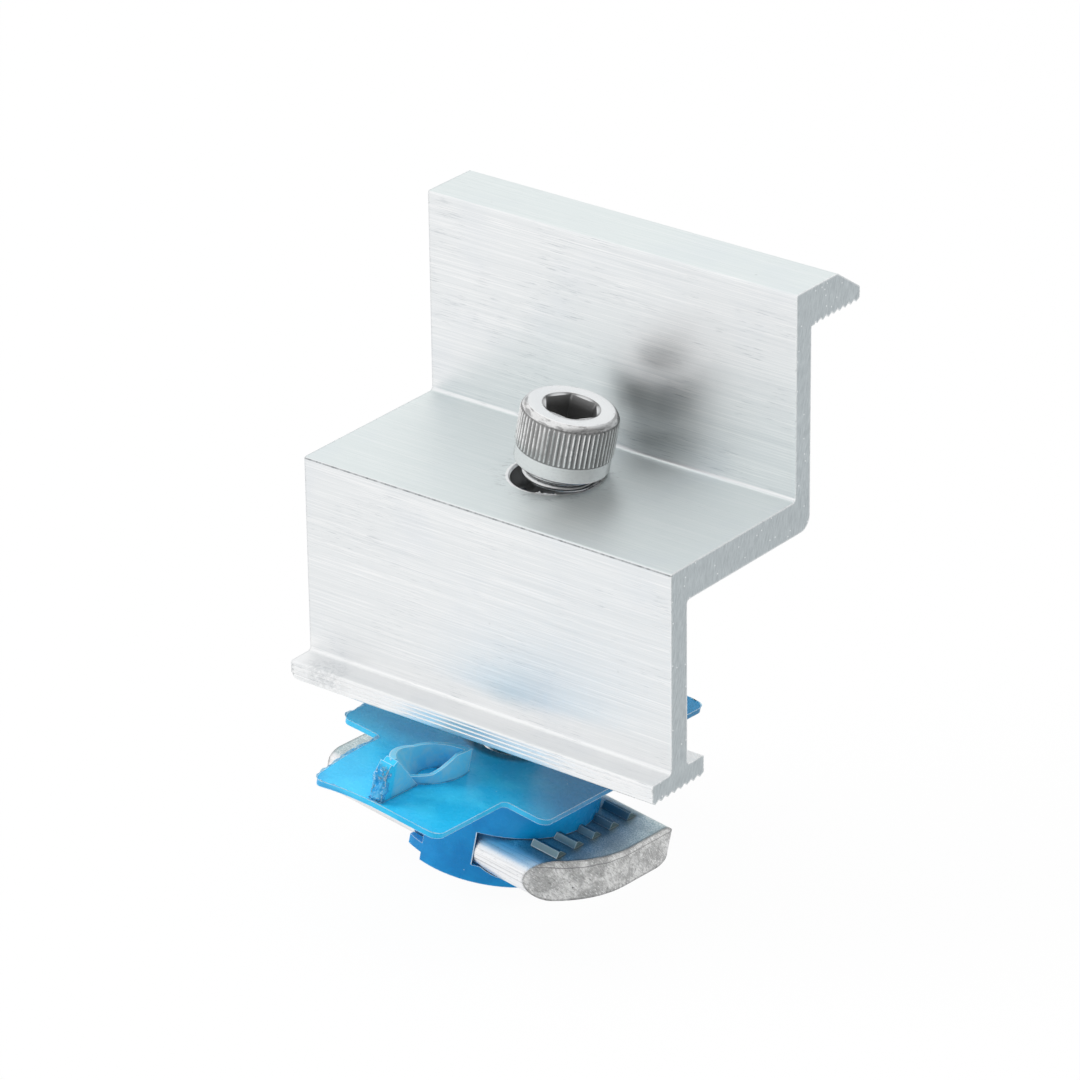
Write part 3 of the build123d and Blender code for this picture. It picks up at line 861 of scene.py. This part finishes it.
def spin(bm, geom, steps, turns, rise, use_merge=False):
    """Turns geom about Z and gives back its last copy."""
    return bmesh.ops.spin(
        bm,
        geom=geom,
        cent=(0, 0, 0),
        axis=(0, 0, 1),
        dvec=(0, 0, rise / steps),
        angle=turns * 2 * math.pi,
        steps=steps,
        use_merge=use_merge,
    )["geom_last"]


def spin_profile(bm, profile, steps, turns=1, rise=0.0):
    """Turns a chain of (radius, height) points about Z, climbing if rise is given."""
    verts = [bm.verts.new((radius, 0, height)) for radius, height in profile]
    edges = [bm.edges.new(pair) for pair in zip(verts, verts[1:])]
    spin(bm, verts + edges, steps, turns, rise, use_merge=rise == 0)


def screw_shank(material):
    """Plain shank, and the core that carries the thread."""
    bm = bmesh.new()
    low = -SCREW_LENGTH
    start = low + THREAD_LENGTH
    profile = [
        (0.3, low + 0.02),
        (THREAD_ROOT - 0.25, low + 0.02),
        (THREAD_ROOT, low + 0.3),
        (THREAD_ROOT, start - 0.1),
        (SHANK_RADIUS - 0.05, start + 0.45),
        (SHANK_RADIUS, start + 0.55),
        (SHANK_RADIUS, -0.3),
        (SHANK_RADIUS + 0.3, 0.01),
        (0.3, 0.01),
    ]
    spin_profile(bm, profile, 96)
    bmesh.ops.holes_fill(bm, edges=bm.edges)
    to_screw(bm)
    add_piece("screw_shank", bm, material, "screw", 30)


def screw_thread(material):
    """Right-hand thread: one ridge wound round the core, fading out at both ends."""
    bm = bmesh.new()
    half = THREAD_PITCH / 2
    profile = [
        (THREAD_ROOT - 0.15, -half * 0.95),
        (THREAD_ROOT + 0.01, -half * 0.86),
        (THREAD_CREST, -half * 0.16),
        (THREAD_CREST, half * 0.16),
        (THREAD_ROOT + 0.01, half * 0.86),
        (THREAD_ROOT - 0.15, half * 0.95),
    ]
    turns = (THREAD_LENGTH - 1.5) / THREAD_PITCH
    steps = round(turns * STEPS_PER_TURN)
    spin_profile(bm, profile, steps, turns, turns * THREAD_PITCH)
    bmesh.ops.translate(bm, vec=(0, 0, -SCREW_LENGTH + 0.7), verts=bm.verts)
    low, high = -SCREW_LENGTH + 0.05, -SCREW_LENGTH + THREAD_LENGTH
    for vert in bm.verts:
        radius = math.hypot(vert.co.x, vert.co.y)
        into_tip = max(0, low + TIP_CHAMFER - vert.co.z)
        into_shank = max(0, vert.co.z - high + THREAD_FADE)
        limit = THREAD_CREST - max(into_tip * 0.9, into_shank * 0.6)
        if radius > limit:
            share = max(limit, THREAD_ROOT) / radius
            vert.co.x *= share
            vert.co.y *= share
        vert.co.z = max(vert.co.z, low)
    to_screw(bm)
    add_piece("screw_thread", bm, material, "screw", 40)


def wound_spring(material):
    """Wire wound in closed turns at both ends and open turns between them."""
    bm = bmesh.new()
    low, high = NUT_TOP + COIL_GAP + WIRE / 2, -COIL_GAP - WIRE / 2
    closed = (FOOT_TURNS + TOP_TURNS) * CLOSED_PITCH
    open_pitch = (high - low - closed) / OPEN_TURNS
    runs = [
        (FOOT_TURNS, CLOSED_PITCH), (OPEN_TURNS, open_pitch), (TOP_TURNS, CLOSED_PITCH)
    ]
    circle = bmesh.ops.create_circle(bm, segments=WIRE_POINTS, radius=WIRE / 2)
    circle = circle["verts"]
    upright = Matrix.Rotation(math.pi / 2, 3, "X")
    bmesh.ops.rotate(bm, verts=circle, cent=(0, 0, 0), matrix=upright)
    bmesh.ops.translate(bm, verts=circle, vec=(COIL_RADIUS, 0, low))
    geom = circle + bm.edges[:]
    bmesh.ops.edgeloop_fill(bm, edges=edges_of(geom))
    for turns, pitch in runs:
        geom = spin(bm, geom, round(turns * STEPS_PER_TURN), turns, turns * pitch)
    bmesh.ops.edgeloop_fill(bm, edges=edges_of(geom))
    to_screw(bm)
    piece = add_piece("wound_spring", bm, material, None, 50)
    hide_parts("spring")
    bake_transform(piece)


def keep_plate_rim(bm):
    """Leaves only the top rim of the holder's plate, and notes which way is outward."""
    outward = bm.verts.layers.float_vector.new("outward")
    kept = set()
    for edge in bm.edges:
        if len(edge.link_faces) != 2:
            continue
        side, top = sorted(edge.link_faces, key=lambda face: face.normal.z)
        middle = (edge.verts[0].co + edge.verts[1].co) / 2
        rim = top.normal.z > 0.85 and abs(side.normal.z) < 0.5
        on_top = PLATE_RIM_LOW < middle.z < PLATE_TOP + 0.05
        if rim and on_top and math.hypot(middle.x, middle.y) > 12:
            kept.add(edge)
            for vert in edge.verts:
                vert[outward] = Vector(vert[outward]) + side.normal
    bmesh.ops.delete(bm, geom=bm.faces[:], context="FACES_ONLY")
    loose = [edge for edge in bm.edges if edge not in kept]
    bmesh.ops.delete(bm, geom=loose, context="EDGES")
    loose = [vert for vert in bm.verts if not vert.link_edges]
    bmesh.ops.delete(bm, geom=loose, context="VERTS")
    return outward


def plate_flash(material):
    """Ragged feather edge along the top rim of the holder's plate."""
    bm = bmesh.new()
    bm.from_mesh(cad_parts["nut_holder"].data)
    bmesh.ops.scale(bm, vec=(1 / MM,) * 3, verts=bm.verts)
    bmesh.ops.transform(bm, matrix=SCREW_MATRIX.inverted(), verts=bm.verts)
    bmesh.ops.remove_doubles(bm, verts=bm.verts, dist=0.002)
    bm.normal_update()
    outward = keep_plate_rim(bm)
    for edge in bm.edges[:]:
        cuts = int(edge.calc_length() / FLASH_STEP)
        if cuts:
            bmesh.ops.subdivide_edges(bm, edges=[edge], cuts=cuts)
    made = bmesh.ops.extrude_edge_only(bm, edges=bm.edges[:])["geom"]
    for vert in verts_of(made):
        way = Vector(vert[outward])
        way = way.normalized() if way.length > 0.1 else Vector((0, 0, 0))
        wave = noise.fractal(vert.co * 0.55, 0.7, 2.2, 4) * 0.6 + 0.5
        nearness = 0.5 + 0.5 * max(0, min(1, (-vert.co.y - 8) / 12))
        size = max(0.1, wave) * nearness * 0.5
        vert.co += way * size * 0.75 + Vector((0, 0, 0.8)) * size
    bmesh.ops.solidify(bm, geom=bm.faces[:], thickness=FLASH_THICKNESS)
    to_screw(bm)
    front, back = cad_box[0].y / MM + 0.01, cad_box[1].y / MM - 0.01
    for vert in bm.verts:
        vert.co.y = min(max(vert.co.y, front), back)
    add_piece("plate_flash", bm, material, "holder", 50)


def torn_fin_end(material):
    """Lump of torn plastic down the broken end of the grip fin."""
    bm = bmesh.new()
    bmesh.ops.create_icosphere(bm, subdivisions=5, radius=1)
    middle = Vector((-0.85, FIN_END + 0.45, PLATE_TOP + 2.3))
    for vert in bm.verts:
        square = Vector([math.copysign(abs(part) ** 0.65, part) for part in vert.co])
        place = square * LUMP_HALF_SIZE
        rough = noise.fractal(place * 0.8, 0.8, 2.1, 5)
        place += vert.co * rough * 0.42
        place.y += (place.z + LUMP_HALF_SIZE.z) * 0.09
        vert.co = middle + place
    to_screw(bm)
    add_piece("torn_fin_end", bm, material, "holder", 35)


def hole_burr(material):
    """Torn rim at the front of the step's hole."""
    bm = bmesh.new()
    start = Vector((math.cos(BURR_START), math.sin(BURR_START), 0))
    first = bm.verts.new(start * (HOLE_RADIUS + 0.2) + Vector((0, 0, -0.03)))
    spin(bm, [first], 40, BURR_SWEEP / (2 * math.pi), 0)
    made = bmesh.ops.extrude_edge_only(bm, edges=bm.edges[:])["geom"]
    for vert in verts_of(made):
        angle = math.atan2(vert.co.y, vert.co.x)
        share = math.sin(math.pi * (angle - BURR_START) / BURR_SWEEP)
        size = (0.25 + abs(noise.noise(vert.co * 2.3)) * 1.6) * share
        vert.co -= vert.co.normalized() * size * 0.3
        vert.co.z += size * 0.35
    bmesh.ops.solidify(bm, geom=bm.faces[:], thickness=BURR_THICKNESS)
    bmesh.ops.translate(bm, vec=HOLE_MIDDLE, verts=bm.verts)
    add_piece("hole_burr", bm, material, "clamp", 50)


def add_floor(material):
    """Plain floor just under the object."""
    low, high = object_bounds()
    bm = bmesh.new()
    bmesh.ops.create_grid(bm, x_segments=1, y_segments=1, size=FLOOR_HALF_WIDTH)
    bmesh.ops.translate(bm, vec=(0, 0, low.z - FLOOR_GAP), verts=bm.verts)
    plane = add_mesh("floor", bm, material)
    plane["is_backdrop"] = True


def camera_axes():
    """Right, up and back of the camera, rolled."""
    azimuth, elevation = math.radians(CAMERA_AZIMUTH), math.radians(CAMERA_ELEVATION)
    back = Vector((
        math.sin(azimuth) * math.cos(elevation),
        -math.cos(azimuth) * math.cos(elevation),
        math.sin(elevation),
    ))
    right = Vector((0, 0, 1)).cross(back).normalized()
    up = back.cross(right)
    roll = Matrix.Rotation(math.radians(CAMERA_ROLL), 3, back)
    return roll @ right, roll @ up, back


def add_camera():
    right, up, back = camera_axes()
    data = bpy.data.cameras.new("camera")
    data.sensor_width = SENSOR_WIDTH
    data.lens = FOCAL_PIXELS / IMAGE_PIXELS * SENSOR_WIDTH
    camera = add_object("camera", data)
    place = CAMERA_TARGET + back * CAMERA_DISTANCE
    place -= right * CAMERA_SHIFT_RIGHT + up * CAMERA_SHIFT_UP
    turn = Matrix((right, up, back)).transposed().to_4x4()
    camera.matrix_world = Matrix.Translation(place) @ turn
    bpy.context.scene.camera = camera


def add_lamp(name, place, size, power):
    """Soft square lamp aimed at the object."""
    data = bpy.data.lights.new(name, "AREA")
    data.size = size
    data.energy = power
    lamp = add_object(name, data)
    lamp.location = place
    lamp.rotation_euler = (-Vector(place)).to_track_quat("-Z", "Y").to_euler()
    lamp.visible_glossy = False


def add_world():
    """White studio; metal sees it bright on the left and above, dimmer on the right."""
    world = bpy.data.worlds.new("world")
    world.use_nodes = True
    bpy.context.scene.world = world
    nodes = Nodes(world.node_tree)
    camera = nodes.node("LightPath", out="Is Camera Ray")
    seen = nodes.math("MAXIMUM", camera, nodes.also(camera, "Is Transmission Ray"))
    glossy = nodes.also(camera, "Is Glossy Ray")
    way = nodes.node("TexCoord", out="Generated")
    bright = nodes.ramp(nodes.dot(way, BRIGHT_SIDE), -0.35, 0.5)
    studio = 0.26 + bright * 0.78
    strength = seen + (1 - seen) * (glossy * studio + (1 - glossy) * SOFT_LIGHT)
    background = world.node_tree.nodes["Background"]
    nodes.join(background.inputs["Color"], WHITE)
    nodes.join(background.inputs["Strength"], strength)


def dress_nodes():
    """Gives each CAD node that stays visible its finish."""
    finishes = {
        "end_clamp": extruded_aluminium(),
        "channel_nut": nut_aluminium(),
        "nut_holder": moulded_blue(),
    }
    for name, material in finishes.items():
        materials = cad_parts[name].data.materials
        materials.clear()
        materials.append(material)


add_camera()
dress_nodes()
steel = stainless_screw()
screw_head(steel)
screw_shank(steel)
screw_thread(steel)
wound_spring(spring_wire())
plate_flash(plastic_flash())
torn_fin_end(torn_plastic())
hole_burr(burr_metal())
add_floor(pale_floor())
add_lamp("key", (-1.0, -0.7, 1.1), 0.9, 14)
add_lamp("fill", (1.1, -0.9, 0.6), 0.8, 2.5)
add_lamp("top", (-0.1, 0.3, 1.5), 0.9, 8)
add_world()
bpy.context.scene.view_settings.view_transform = "Standard"
